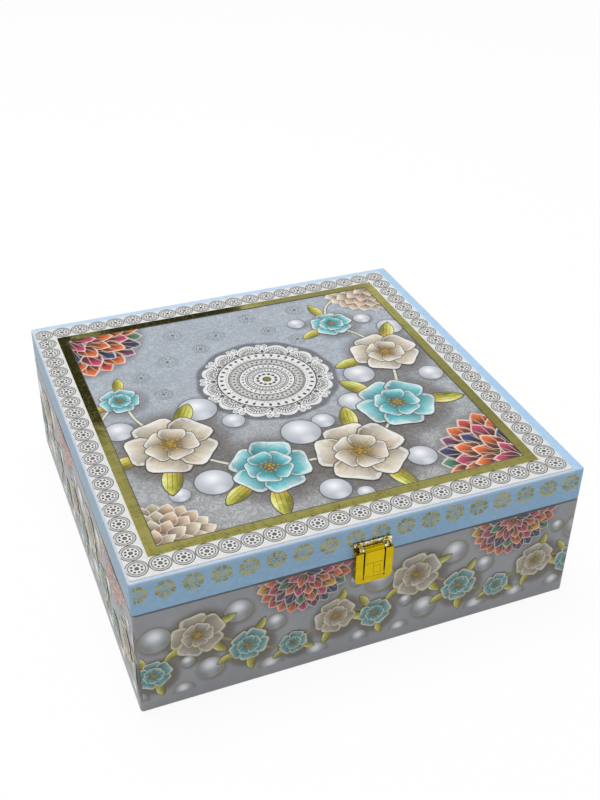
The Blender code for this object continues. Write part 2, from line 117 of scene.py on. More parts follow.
def add(kind, inputs=None, out=0, tree=None, **settings):
    """An output of a new node: a shader node, unless its kind names another. Links tell its tree."""
    inputs = inputs or {}
    tree = tree or next(value.id_data for value in inputs.values() if isinstance(value, Socket))
    node = tree.nodes.new(kind if "Node" in kind else "ShaderNode" + kind)
    for name, value in settings.items():
        setattr(node, name, value)
    for name, value in inputs.items():
        if isinstance(value, Socket):
            tree.links.new(value, node.inputs[name])
        else:
            node.inputs[name].default_value = value
    return node.outputs[out]


def maths(operation, *values, clamp=False):
    return add("Math", dict(enumerate(values)), operation=operation, use_clamp=clamp)


plus = partial(maths, "ADD")
minus = partial(maths, "SUBTRACT")
larger = partial(maths, "MAXIMUM")
absolute = partial(maths, "ABSOLUTE")


def times(*values):
    return reduce(partial(maths, "MULTIPLY"), values)


def axes_of(place):
    return add("SeparateXYZ", {0: place}).node.outputs


def away_from(place, x, y):
    """How far a flat place is from a point."""
    return add("VectorMath", {0: place, 1: (x, y, 0)}, "Value", operation="DISTANCE")


def span(value, low, high, start=0.0, end=1.0, smooth=True):
    """The value moved from low..high to start..end, held at both ends."""
    inputs = {"Value": value, "From Min": low, "From Max": high, "To Min": start, "To Max": end}
    return add("MapRange", inputs, interpolation_type="SMOOTHSTEP" if smooth else "LINEAR", clamp=True)


def mix(factor, first, second, blend="MIX"):
    """Two colours mixed; a plain colour of three values is a screen colour."""
    colours = [tone(*each) if isinstance(each, tuple) and len(each) == 3 else each
               for each in (first, second)]
    return add("Mix", {0: factor, 6: colours[0], 7: colours[1]}, 2, data_type="RGBA", blend_type=blend)


def dim(colour, factor):
    """The colour times a grey factor."""
    return mix(1.0, colour, add("CombineColor", {0: factor, 1: factor, 2: factor}), "MULTIPLY")


def dimmed(colour, *spans):
    """The colour dimmed by one span after the other."""
    return reduce(dim, [span(*inputs) for inputs in spans], colour)


def ramp(factor, *stops):
    """Colours along a factor: stops of a place and a screen colour, or of a place and a linear grey."""
    colours = add("ValToRGB", {"Fac": factor})
    elements = colours.node.color_ramp.elements
    while len(elements) < len(stops):
        elements.new(1.0)
    for element, (place, *colour) in zip(elements, stops):
        element.position = place
        element.color = tone(*colour) if len(colour) == 3 else (*colour * 3, 1)
    return colours


def grain(place, scale, detail=2.0, distortion=0.0, stretch=(1, 1, 1)):
    """Noise with features of 1/scale metres, stretched where asked."""
    mapped = add("Mapping", {"Vector": place, "Scale": stretch})
    inputs = {"Vector": mapped, "Scale": scale, "Detail": detail, "Distortion": distortion}
    return add("TexNoise", inputs, "Fac")


def new_finish(name, roughness=0.5, metallic=0.0, coat=0.0, coat_roughness=0.2, specular=0.5):
    """A material with its shader's plain values set, and its object coordinates."""
    material = bpy.data.materials.new(name)
    material.use_nodes = True
    tree = material.node_tree
    values = {"Roughness": roughness, "Metallic": metallic, "Coat Weight": coat,
              "Coat Roughness": coat_roughness, "Specular IOR Level": specular}
    for label, value in values.items():
        tree.nodes["Principled BSDF"].inputs[label].default_value = value
    return material, add("TexCoord", out="Object", tree=tree)


def end_finish(material, colour, relief=None, **wired):
    """The material with its colour, relief (height, strength, depth in mm) and other inputs wired."""
    tree = material.node_tree
    if relief:
        height, strength, depth = relief
        inputs = {"Height": height, "Strength": strength, "Distance": depth * mm}
        wired["Normal"] = add("Bump", inputs)
    for label, value in {"Base Color": colour, **wired}.items():
        tree.links.new(value, tree.nodes["Principled BSDF"].inputs[label])
    return material


# Papers

def soft_spots(place, spots):
    """Soft dark rounds in the paper: (x, y, radius, fade, depth)."""
    return times(*[span(away_from(place, x, y), radius, radius + fade, 1 - depth, 1.0)
                   for x, y, radius, fade, depth in spots])


def shaded(colour, shade, warm):
    """The colour darkened by a shade factor, and warmer where it is darkest."""
    return mix(span(shade, 0.95, 0.45, 0, 0.45), dim(colour, shade), warm)


def edge_shade(place, level):
    """Darkens the outer faces of the paper where lid and base meet."""
    x, y, z = axes_of(place)
    shade = span(absolute(minus(z, level)), 0.15 * mm, 0.6 * mm, 0.22, 1.0)
    return larger(shade, maths("LESS_THAN", larger(absolute(x), absolute(y)), half_width - 0.2 * mm))


def lace_shade(flat):
    """Soft shade along the scalloped edge of the round lace."""
    middle = (mandala_place.x + 0.4 * mm, mandala_place.y)
    x, y, z = axes_of(add("VectorMath", {0: flat, 1: (*middle, 0)}, operation="SUBTRACT"))
    scallop = maths("COSINE", times(maths("ARCTAN2", y, x), 12.0))
    reach = minus(away_from(flat, *middle), times(scallop, 0.5 * mm))
    return span(reach, mandala_radius + 1.2 * mm, mandala_radius + 4.0 * mm, 0.38, 1.0)


def blue_paper_finish():
    """The lid's wrap: light blue satin paper, finely brushed and creased, with a painted highlight along its
    top edge and painted shade on its left face and at the seam.
    """
    material, place = new_finish("blue_paper", 0.45, specular=0.4)
    brushed = grain(place, 900, 3, 0.6, (0.35, 0.35, 1.0))
    creased = grain(place, 300, 4, 1.2)
    colour = ramp(grain(place, 28, 2), (0.3, 154, 195, 229), (0.7, 162, 202, 234))
    colour = dimmed(colour, (brushed, 0.3, 0.7, 0.95, 1.04), (creased, 0.25, 0.75, 0.93, 1.06))
    x, y, z = axes_of(place)
    # Painted highlight: the top 3 mm of the wrap, where it rounds over the board, is paled, most near the
    # left edge and least near the right.
    painted_rim_highlight = span(z, lid_high.z - 3.0 * mm, lid_high.z, 0, 0.6)
    near = times(span(x, half_width - 8 * mm, half_width - 5 * mm, 1.0, 0.3),
                 span(x, 5 * mm - half_width, 0.5 * mm - half_width, 1.0, 1.6))
    colour = mix(times(painted_rim_highlight, near), colour, (206, 220, 236))
    # Painted shade: the left face, below its rounded top, is darkened and greyed.
    painted_left_shade = times(span(x, lid_low.x + 0.5 * mm, lid_low.x, 0, 0.5),
                   span(z, lid_high.z - 1.0 * mm, lid_high.z - 3.0 * mm))
    colour = mix(painted_left_shade, colour, (146, 166, 176))
    colour = dim(colour, edge_shade(place, lid_low.z))
    rough = span(creased, 0.3, 0.7, 0.38, 0.52)
    return end_finish(material, colour, (plus(brushed, creased), 0.5, 0.08), Roughness=rough)


def grey_print_finish(spots, period):
    """The base's wrap: satin grey with soft shade round the printed motifs."""
    material, place = new_finish("grey_print", 0.38, coat=0.15, coat_roughness=0.25)
    x, y, z = axes_of(place)
    facing = axes_of(add("NewGeometry", out="True Normal", tree=material.node_tree))
    on_front = maths("GREATER_THAN", absolute(facing["Y"]), absolute(facing["X"]))
    along_front = times(x, times(maths("SIGN", facing["Y"]), -1))
    along_side = times(y, maths("SIGN", facing["X"]))
    run = span(on_front, 0, 1, along_side, along_front, False)
    cell = maths("FLOORED_MODULO", plus(run, period), period)
    flat = add("CombineXYZ", {"X": cell, "Y": z})
    over_ends = [(across + turn * period, rise, radius, fade, depth)
                 for across, rise, radius, fade, depth in spots for turn in (-1, 1)
                 if -radius - fade < across + turn * period < period + radius + fade]
    below = span(z, plain_strip, plain_strip - 0.2 * mm)
    fine = grain(place, 1500, 2)
    colour = ramp(grain(place, 60, 3), (0.3, 161, 163, 168), (0.7, 173, 175, 179))
    colour = shaded(colour, larger(soft_spots(flat, spots + over_ends), below), (116, 104, 84))
    # The colour darkens a little towards the top, and the left face is dimmed as painted shade.
    colour = dimmed(colour, (z, 0.0, base_high.z, 0.945, 0.90), (fine, 0.3, 0.7, 0.97, 1.03),
                    (x, base_low.x, base_low.x + 0.5 * mm, 0.84, 1.0))
    colour = dim(colour, edge_shade(place, base_high.z))
    return end_finish(material, colour, (fine, 0.2, 0.03))


def top_print_finish(spots):
    """The top sheet: a white border, and an embossed grey-blue field inside the foil frame."""
    material, place = new_finish("top_print", 0.4, coat=0.12, coat_roughness=0.25)
    middle = add("Mapping", {"Vector": place, "Location": (-print_middle.x, -print_middle.y, 0)})
    flat = add("VectorMath", {0: middle, 1: (1, 1, 0)}, operation="MULTIPLY")
    x, y, z = axes_of(flat)
    inside = maths("LESS_THAN", larger(absolute(x), absolute(y)), foil_outer_half - foil_band / 2)
    contours = maths("SINE", times(grain(place, 180, 1, 1.3), 30.0))
    pebbles = grain(place, 1100, 2, 0.8)
    to_back = (y, -field_half, field_half * 0.5)
    field = mix(span(*to_back), (171, 172, 174), (170, 178, 188))
    field = shaded(field, soft_spots(flat, spots), (128, 120, 114))
    # Painted highlight and shade of the emboss: the contours lighten and darken the field, deepest towards
    # the front, and also make its relief.
    field = dimmed(dim(field, lace_shade(flat)), (contours, -1, 1, span(*to_back, 0.74, 0.88), 1.12, False),
                   (pebbles, 0.3, 0.7, 0.96, 1.03), (grain(place, 22, 2), 0.3, 0.7, 0.97, 1.03))
    border = mix(span(pebbles, 0.35, 0.65), (217, 218, 218), (230, 230, 230))
    height = plus(times(contours, 0.40), times(pebbles, 0.4))
    strength = span(inside, 0, 1, 0.10, 0.9, False)
    return end_finish(material, mix(inside, border, field), (height, strength, 0.3))


def lining_finish():
    """Pale lining paper with a fine linen emboss."""
    material, place = new_finish("lining_paper", 0.75)
    weave = larger(grain(place, 900, 2, 0, (1, 0.12, 1)), grain(place, 900, 2, 0, (0.12, 1, 0.5)))
    colour = ramp(weave, (0.4, 206, 207, 209), (0.7, 226, 226, 226))
    return end_finish(material, colour, (weave, 0.4, 0.05))


def fibre_finish(name, roughness, fibres, stops, flecks, fleck_tones, strength, depth):
    """Raw paper or board: its fibres give the colour and the relief, and flecks cloud it."""
    material, place = new_finish(name, roughness)
    height = grain(place, *fibres)
    colour = dim(ramp(height, *stops), span(grain(place, *flecks), *fleck_tones))
    return end_finish(material, colour, (height, strength, depth))


def lace_finish():
    """White raised paper with a faint mottle."""
    material, place = new_finish("lace_white", 0.5, coat=0.1)
    mottle = grain(place, 380, 3, 0.8)
    colour = mix(span(mottle, 0.3, 0.7), (217, 218, 218), (233, 233, 232))
    return end_finish(material, colour, (mottle, 0.3, 0.05))


# Metals, foils and inks

def metal_finish(name, bright, dull, roughness, smudge_scale, scratch=0.15):
    """Plated metal with soft smudges and fine scratches."""
    material, place = new_finish(name, roughness, metallic=1.0)
    smudges = grain(place, smudge_scale, 3, 0.6)
    scratches = grain(place, 2600, 2, 0, (0.08, 1, 1))
    colour = mix(span(smudges, 0.35, 0.75), bright, dull)
    rough = span(smudges, 0.35, 0.75, roughness * 0.7, roughness * 1.6)
    return end_finish(material, colour, (scratches, scratch, 0.01), Roughness=rough)


def painted_glints_finish():
    """Polished metal with painted small bright glints between painted dark reflections, over fine dents."""
    material, place = new_finish("latch_plate_gold", 0.12, metallic=1.0)
    dents_and_glints = grain(place, 620, 2, 1.0)
    colour = ramp(dents_and_glints, (0.34, 78, 66, 16), (0.42, 184, 164, 34), (0.49, 200, 192, 184),
                  (0.55, 190, 180, 154), (0.60, 255, 252, 220))
    return end_finish(material, colour, (dents_and_glints, 0.7, 0.25))


def foil_finish(name, bright, dull, roughness):
    """Stamped foil: mirror-like, a little wavy, with specks where it did not take."""
    material, place = new_finish(name, roughness)
    specks = grain(place, 1100, 3, 0.5)
    across = grain(place, 240, 4, 0.5, (0.12, 1, 1))
    along = grain(place, 240, 4, 0.5, (1, 0.12, 1))
    streaks = times(plus(across, along), 0.5)
    missed = span(plus(specks, times(streaks, 0.6)), 0.90, 0.98)
    colour = mix(missed, mix(span(streaks, 0.4, 0.6), bright, dull), (96, 92, 58))
    height = plus(grain(place, 60, 3, 0.4), times(streaks, 0.25))
    return end_finish(material, colour, (height, 0.30, 0.16),
                      Metallic=span(missed, 0, 1, 1.0, 0.3, False),
                      Roughness=span(streaks, 0.4, 0.65, roughness * 0.8, roughness * 1.8))


def ink_finish(name, dark, light, roughness=0.4, metallic=0.0):
    """Line ink with a slightly uneven take, between two screen colours; the latch's pressed lines use it as
    painted shade of their grooves.
    """
    material, place = new_finish(name, roughness, metallic=metallic)
    return end_finish(material, mix(span(grain(place, 500, 3, 0.5), 0.3, 0.7), dark, light))


# Printed motifs

def plate_values(tree):
    """The place across and along a motif, and how near its rim it is."""
    across, along, level = axes_of(add("UVMap", tree=tree, uv_map="motif"))
    return across, along, add("Attribute", out="Fac", tree=tree, attribute_name="rim")


def petal_veins(across, along, count, width=0.10):
    """Thin lines that fan out from a petal's foot: 1 on a line, 0 off it."""
    angle = maths("ARCTAN2", across, plus(along, 0.10))
    wave = maths("FRACT", times(angle, count / pi))
    return span(absolute(minus(wave, 0.5)), width, width * 0.4)


def petal_finish(name, stops, line_colour, line_metallic=0.0, vein_count=9, tinted=False, depth=1.0):
    """Painted petals with a shaded side, veins, a pale lip and a drawn outline."""
    material, place = new_finish(name, 0.38, coat=0.12, coat_roughness=0.25)
    tree = material.node_tree
    across, along, rim = plate_values(tree)
    washed = minus(grain(place, 160, 3, 0.8), 0.5)
    colour = ramp(plus(along, times(washed, 0.35)), *stops)
    if tinted:
        tint = add("Attribute", out="Color", tree=tree, attribute_name="tint")
        colour = mix(1.0, colour, tint, "MULTIPLY")
    colour = dim(colour, span(across, -1.0, 0.5, 0.62 * depth, 1.06 * depth))
    veins = times(petal_veins(across, along, vein_count), span(along, 0.9, 0.35, 0.0, 0.6))
    colour = mix(veins, colour, line_colour)
    lip = times(span(plus(rim, times(washed, 0.5)), 0.74, 0.86), span(along, 0.25, 0.6))
    colour = mix(times(lip, 0.55), colour, (236, 237, 235))
    outline = span(rim, 0.93, 0.955)
    wired = {"Metallic": times(outline, line_metallic)} if line_metallic else {}
    return end_finish(material, mix(outline, colour, line_colour), **wired)


def leaf_finish(name, line_colour):
    """Painted leaves, olive to bright yellow, with drawn ribs."""
    material, place = new_finish(name, 0.38, coat=0.12, coat_roughness=0.25)
    across, along, rim = plate_values(material.node_tree)
    lit = plus(times(across, 0.45), times(grain(place, 180, 3, 0.8), 0.6))
    colour = ramp(lit, (0.0, 112, 112, 28), (0.3, 184, 180, 58), (0.55, 220, 220, 128), (0.8, 238, 238, 178))
    colour = mix(span(along, 0.55, 0.0), colour, (214, 160, 20))
    offset = absolute(across)
    side_rib = span(absolute(minus(offset, 0.42)), 0.04, 0.015)
    ribs = times(larger(span(offset, 0.05, 0.02), side_rib), span(along, 0.98, 0.7, 0, 0.8))
    colour = mix(ribs, colour, line_colour)
    return end_finish(material, mix(span(rim, 0.90, 0.93), colour, line_colour))


def pearl_finish(name, line_colour, depth=1.0, glow=1.0):
    """Painted pearls with a white glow, a grey crescent and a thin outline."""
    material, place = new_finish(name, 0.3, coat=0.2, coat_roughness=0.2)
    across, along, rim = plate_values(material.node_tree)
    spot = add("CombineXYZ", {"X": across, "Y": times(along, 2.0)})
    away = away_from(spot, 0.0, 1.30)
    colour = ramp(away, (0.0, 246, 247, 250), (0.20, 232, 234, 239), (0.55, 200, 204, 212),
                  (1.0, 174, 180, 188))
    colour = mix(span(away_from(spot, 0.12, 0.34), 0.55, 0.1, 0, 0.55), colour, (232, 234, 239))
    colour = dim(colour, span(away, 0.15, 0.95, glow, depth))
    return end_finish(material, mix(span(rim, 0.94, 0.955), colour, line_colour))


# Outlines of printed shapes, drawn anticlockwise

def disc_outline(radius, steps):
    turns = [2 * pi * k / steps for k in range(steps)]
    return [(radius * sin(-turn), radius * cos(turn)) for turn in turns]


def petal_outline(length, width, foot, tip, steps, notch=0.0, ruffle=0.0):
    """A petal from its foot at the origin to its tip along +Y.

    A larger foot power sharpens the foot, and a smaller tip power rounds the tip.
    """
    peak = foot / (foot + tip)
    widest = peak ** foot * (1 - peak) ** tip
    side = []
    for k in range(steps + 1):
        share = (1 - cos(pi * k / steps)) / 2
        x = width / 2 * share ** foot * (1 - share) ** tip / widest
        x *= 1 + ruffle * sin(5 * pi * share)
        dip = notch * max(0.0, 1 - (2 * x / width) ** 2) * share ** 10
        side.append((x, length * (share - dip)))
    return side + [(-x, y) for x, y in reversed(side[1:-1])]


def oblong_outline(x, y, width, height):
    """An oblong with its lower left corner at x, y."""
    return [(x + a * width, y + b * height) for a, b in ((0, 0), (1, 0), (1, 1), (0, 1))]


def lace_outline(steps):
    """The round lace's edge: twelve broad arcs, with two small curls between each two."""
    twelfth = pi / 6
    rounds = ((0.0, 32.6, 6.5), (0.211, 37.6, 2.0), (twelfth - 0.211, 37.6, 2.0))
    points = []
    for k in range(12 * steps):
        turn = 2 * pi * k / (12 * steps)
        reach = 36.2
        for middle, centre, radius in rounds:
            away = (turn - middle + twelfth / 2) % twelfth - twelfth / 2
            inside = radius ** 2 - (centre * sin(away)) ** 2
            if inside > 0:
                reach = max(reach, centre * cos(away) + sqrt(inside))
        points.append((reach * mm * cos(turn), reach * mm * sin(turn)))
    return points


def plate(outline, thickness=foil_thickness):
    """A closed thin plate in an outline, with its motif map and a rim value of 1 at its edge."""
    (low_x, high_x), (low_y, high_y) = ((min(values), max(values)) for values in zip(*outline))
    middle = ((low_x + high_x) / 2, low_y + 0.55 * (high_y - low_y))
    count = len(outline)
    points = [(*middle, thickness)] + [(x, y, level) for level in (thickness, 0) for x, y in outline]
    faces = [(0, 1 + k, 1 + (k + 1) % count) for k in range(count)]
    faces += [(1 + k, 1 + count + k, 1 + count + (k + 1) % count, 1 + (k + 1) % count) for k in range(count)]
    faces.append(tuple(reversed(range(1 + count, 1 + 2 * count))))
    mesh = bpy.data.meshes.new("plate")
    mesh.from_pydata(points, [], faces)
    rim = mesh.attributes.new("rim", "FLOAT", "POINT")
    rim.data.foreach_set("value", [0.0] + [1.0] * (2 * count))
    motif = mesh.uv_layers.new(name="motif")
    for loop in mesh.loops:
        x, y, z = mesh.vertices[loop.vertex_index].co
        motif.data[loop.index].uv = ((x - middle[0]) / (high_x - low_x) * 2, (y - low_y) / (high_y - low_y))
    return mesh


def disc(radius, steps, thickness=foil_thickness):
    """A round plate, its radius in millimetres."""
    return plate(disc_outline(radius * mm, steps), thickness)


def petal(length, width, foot, tip, steps, notch=0.0):
    """A petal-shaped foil plate, its length and width in millimetres."""
    return plate(petal_outline(length * mm, width * mm, foot, tip, steps, notch))


# Geometry trees for what repeats

def new_tree(name, **sockets):
    """The inputs of a new geometry tree, which has these and a finish."""
    tree = bpy.data.node_groups.new(name, "GeometryNodeTree")
    tree.interface.new_socket("Result", in_out="OUTPUT", socket_type="NodeSocketGeometry")
    for label, kind in {**sockets, "Finish": "Material"}.items():
        tree.interface.new_socket(label, in_out="INPUT", socket_type="NodeSocket" + kind)
    return tree.nodes.new("NodeGroupInput").outputs


def end_tree(given, geometry):
    """Realizes the copies, gives them their material and closes the tree."""
    real = add("GeometryNodeRealizeInstances", {"Geometry": geometry})
    dressed = add("GeometryNodeSetMaterial", {"Geometry": real, "Material": given["Finish"]})
    tree = geometry.id_data
    tree.links.new(dressed, tree.nodes.new("NodeGroupOutput").inputs["Result"])
    return tree


def shape_of(given, whole=True):
    """The shape as one instance, or as its bare mesh."""
    return add("GeometryNodeObjectInfo", {"Object": given["Shape"], "As Instance": whole}, "Geometry")


def spin_of(euler):
    return add("FunctionNodeEulerToRotation", {"Euler": euler}, "Rotation")


def on_points(given, **inputs):
    """The tree that ends with an instance on each point."""
    return end_tree(given, add("GeometryNodeInstanceOnPoints", inputs, "Instances"))


def copies_tree():
    """A copy of the shape at each point, turned and sized by the point's own values."""
    given = new_tree("copies_on_points", Points="Geometry", Shape="Object")
    turn, size = [add("GeometryNodeInputNamedAttribute", {"Name": name}, "Attribute", given[0].id_data,
                      data_type="FLOAT_VECTOR") for name in ("turn", "size")]
    return on_points(given, Points=given["Points"], Instance=shape_of(given), Rotation=spin_of(turn),
                     Scale=size)


def ring_tree():
    """Copies of the shape in a ring round the origin, each pushed out along its own +Y."""
    given = new_tree("ring_of_shapes", Shape="Object", Count="Int", Radius="Float", Turn="Float")
    push = add("CombineXYZ", {"Y": given["Radius"]})
    pushed = add("GeometryNodeTransform", {"Geometry": shape_of(given, False), "Translation": push})
    index = add("GeometryNodeInputIndex", tree=given[0].id_data)
    angle = maths("MULTIPLY_ADD", index, maths("DIVIDE", 2 * pi, given["Count"]), given["Turn"])
    spin = spin_of(add("CombineXYZ", {"Z": angle}))
    points = add("GeometryNodePoints", {"Count": given["Count"]})
    return on_points(given, Points=points, Instance=pushed, Rotation=spin)


def row_tree():
    """Copies of the shape in a straight row along +X from its first place."""
    given = new_tree("straight_row", Shape="Object", Count="Int", Pitch="Float", First="Vector")
    pitch = add("CombineXYZ", {"X": given["Pitch"]})
    places = {"Count": given["Count"], "Start Location": given["First"], "Offset": pitch}
    return on_points(given, Points=add("GeometryNodeMeshLine", places), Instance=shape_of(given))


def swept(given, curve, caps):
    """A curve swept with a thin oblong."""
    oblong = {"Width": given["Line"], "Height": given["Thickness"]}
    profile = add("GeometryNodeCurvePrimitiveQuadrilateral", oblong)
    return add("GeometryNodeCurveToMesh", {"Curve": curve, "Profile Curve": profile, "Fill Caps": caps})


def thin_ring_tree():
    """A closed flat ring of line."""
    given = new_tree("thin_ring", Radius="Float", Line="Float", Thickness="Float", Steps="Int")
    values = {"Resolution": given["Steps"], "Radius": given["Radius"]}
    circle = add("GeometryNodeCurvePrimitiveCircle", values)
    lift = add("CombineXYZ", {"Z": times(given["Thickness"], 0.5)})
    lifted = add("GeometryNodeTransform", {"Geometry": swept(given, circle, False), "Translation": lift})
    return end_tree(given, lifted)


def ribbon_tree():
    """A thin flat line that follows a path of points."""
    given = new_tree("ribbon_on_path", Path="Geometry", Line="Float", Thickness="Float")
    path = add("GeometryNodeMeshToCurve", {"Mesh": given["Path"]})
    level = add("GeometryNodeSetCurveNormal", {"Curve": path}, mode="Z_UP")
    return end_tree(given, swept(given, level, True))


copies_on_points = copies_tree()
ring_of_shapes = ring_tree()
straight_row = row_tree()
thin_ring = thin_ring_tree()
ribbon_on_path = ribbon_tree()


def linked(name, data):
    """A new object in the scene."""
    made = bpy.data.objects.new(name, data)
    scene.collection.objects.link(made)
    return made


def grow(tree, finish, mesh=None, **values):
    """The plain mesh that a tree makes from a finish or its name, a mesh where it needs one, and values."""
    values["Finish"] = looks.get(finish, finish)
    holder = linked("holder", mesh or bpy.data.meshes.new("holder"))
    modifier = holder.modifiers.new(tree.name, "NODES")
    modifier.node_group = tree
    helpers = []
    for item in tree.interface.items_tree:
        value = values.get(item.name)
        if isinstance(value, bpy.types.Mesh):
            value = linked("shape", value)
            helpers.append(value)
        if item.in_out == "INPUT" and value is not None:
            modifier[item.identifier] = value
    graph = bpy.context.evaluated_depsgraph_get()
    result = holder.evaluated_get(graph)
    grown = bpy.data.meshes.new_from_object(result, preserve_all_data_layers=True, depsgraph=graph)
    for helper in helpers + [holder]:
        bpy.data.objects.remove(helper)
    return grown


def joined(meshes):
    """One mesh made of several, with their maps and values kept."""
    objects = [linked("part", mesh) for mesh in meshes]
    with bpy.context.temp_override(active_object=objects[0], object=objects[0], selected_objects=objects,
                                   selected_editable_objects=objects):
        bpy.ops.object.join()
    mesh = objects[0].data
    bpy.data.objects.remove(objects[0])
    return mesh


def ring(shape, finish, count, radius=0.0, turn=0.0):
    """Copies of a shape in a ring, its radius in millimetres."""
    return grow(ring_of_shapes, finish, Shape=shape, Count=count, Radius=radius * mm, Turn=turn)


def ring_line(radius, line, steps, finish, thickness=foil_thickness):
    """A flat ring of line, its radius and width in millimetres."""
    return grow(thin_ring, finish, Radius=radius * mm, Line=line * mm, Thickness=thickness, Steps=steps)


def place_copies(shape, places, finish, tints=()):
    """Copies of a shape, or of an outline's thin plate, at places: x, y, then z, turn, size along x and y."""
    places = [(*place, *(0, 0, 0, 0, 1, 1)[len(place):]) for place in places]
    points = bpy.data.meshes.new("places")
    points.from_pydata([place[:3] for place in places], [], [])
    for name, kind, key, rows in (("turn", "FLOAT_VECTOR", "vector", [(0, 0, place[3]) for place in places]),
                                  ("size", "FLOAT_VECTOR", "vector", [(*place[4:], 1) for place in places]),
                                  ("tint", "FLOAT_COLOR", "color", [tone(*tint) for tint in tints])):
        if rows:
            values = points.attributes.new(name, kind, "POINT").data
            values.foreach_set(key, [value for row in rows for value in row])
    shape = plate(shape, layer) if isinstance(shape, list) else shape
    return grow(copies_on_points, finish, points, Shape=shape)


def clipped(mesh, *cuts):
    """The mesh without what lies past each plane (direction, reach), closed again."""
    for direction, reach in cuts:
        work = bmesh.new()
        work.from_mesh(mesh)
        bmesh.ops.bisect_plane(work, geom=work.verts[:] + work.edges[:] + work.faces[:],
                               plane_co=Vector(direction) * reach, plane_no=direction, clear_outer=True)
        bmesh.ops.holes_fill(work, edges=[edge for edge in work.edges if edge.is_boundary], sides=0)
        work.to_mesh(mesh)
        work.free()
    return mesh


def piece(name, mesh, body):
    """A finished piece that rides on a body."""
    mesh.name = name
    made = linked(name, mesh)
    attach(made, body)


# Motifs

unit_petal = petal_outline(1.0, 1.0, 0.75, 0.42, 12, notch=0.10, ruffle=0.03)
slim_petal = petal_outline(1.0, 1.0, 0.55, 0.92, 7)
unit_leaf = petal_outline(1.0, 1.0, 0.80, 0.80, 10)

yellow, orange, red, pink = (242, 186, 40), (236, 118, 52), (214, 72, 62), (206, 70, 120)
plum, navy, green = (120, 58, 112), (52, 62, 124), (74, 142, 112)
bright_tints = (yellow, orange, red, orange, pink, plum, navy, green, orange, pink)
pale_tints = ((232, 222, 204), (228, 204, 182), (206, 196, 178))


def shift(x, y, z):
    return Matrix.Translation((x, y, z))


def polar(x, y, reach, angle):
    return x + reach * cos(angle), y + reach * sin(angle)


def height_of(level):
    """The foot of a motif that lies this many layers up."""
    return layer * level - sunk


def fans(centres, size, tints, finish, level=0):
    """One mesh of layered fans, each (x, y, first angle, last angle). Outer rows lie lowest."""
    rows = ((0.66, 0.34, 0.30), (0.46, 0.36, 0.30), (0.25, 0.36, 0.27), (0.02, 0.36, 0.22))
    places, colours = [], []
    for x, y, first, last in centres:
        for row, (foot, length, width) in enumerate(rows):
            reach = size * (foot + length * 0.5)
            count = max(2, round((last - first) * reach / (size * width * 0.72)))
            for k in range(count):
                angle = first + (last - first) * (k + 0.375 + 0.25 * (row % 2)) / count
                places.append((*polar(x, y, size * foot, angle), height_of(level + 2 * row + k % 2),
                               angle - pi / 2, size * width, size * length))
                colours.append(tints[int((k / count) * len(tints) + row * 3) % len(tints)])
    return place_copies(slim_petal, places, finish, colours)


def blossom_places(x, y, radius, turn, source):
    """One open blossom: five broad outer petals and five short inner ones."""
    places = []
    for ring_index, (length, width, offset) in enumerate(((1.0, 0.98, 0.0), (0.58, 0.60, pi / 5))):
        for k in range(5):
            angle = turn + offset + 2 * pi * k / 5 + source.uniform(-0.06, 0.06)
            grown = source.uniform(0.95, 1.04)
            places.append((x, y, height_of(blossom_level + ring_index * 5 + k), angle, radius * width * grown,
                           radius * length * grown))
    return places


def stamen_places(x, y, radius):
    """A blossom's beads: a ring of eleven, a ring of six and one."""
    return [(*polar(x, y, reach * radius, 2 * pi * k / count), height_of(stamen_level), 0, bead * radius,
             bead * radius)
            for count, reach, bead in ((11, 0.19, 0.034), (6, 0.09, 0.040), (1, 0.0, 0.055))
            for k in range(count)]


def leaf_places(layout, blossom_layout, starts=(0.0,)):
    """Leaves that come out from under their blossoms."""
    places = []
    for start in starts:
        for k, (index, degrees, length, width) in enumerate(layout):
            kind, x, y, radius, turn = blossom_layout[index]
            angle = radians(degrees)
            x, y = polar(x, y, 0.62 * radius, angle)
            places.append((start + x * mm, y * mm, height_of(leaf_level + k % 2), angle - pi / 2, width * mm,
                           length * mm))
    return places


def pearl_places(layout, starts=(0.0,)):
    return [(start + x * mm, y * mm, height_of(pearl_level + k % 2), 0, size * mm, size * mm)
            for start in starts for k, (x, y, size) in enumerate(layout)]


def vine(points, line, level, finish, start=0.0, smooth=6):
    """A drawn stem through given points, smoothed."""
    points = [(start + x * mm, y * mm) for x, y in points]
    path = []
    last = len(points) - 1
    for k in range(last):
        near = (points[max(k - 1, 0)], points[k], points[k + 1], points[min(k + 2, last)])
        for step in range(smooth):
            t = step / smooth
            path.append(tuple(0.5 * (2 * b + (c - a) * t + (2 * a - 5 * b + 4 * c - d) * t * t
                                     + (3 * b - a - 3 * c + d) * t ** 3) for a, b, c, d in zip(*near)))
    path.append(points[-1])
    mesh = bpy.data.meshes.new("path")
    mesh.from_pydata([(x, y, height_of(level + 0.5)) for x, y in path],
                     [(k, k + 1) for k in range(len(path) - 1)], [])
    return grow(ribbon_on_path, finish, mesh, Line=line * mm, Thickness=layer)


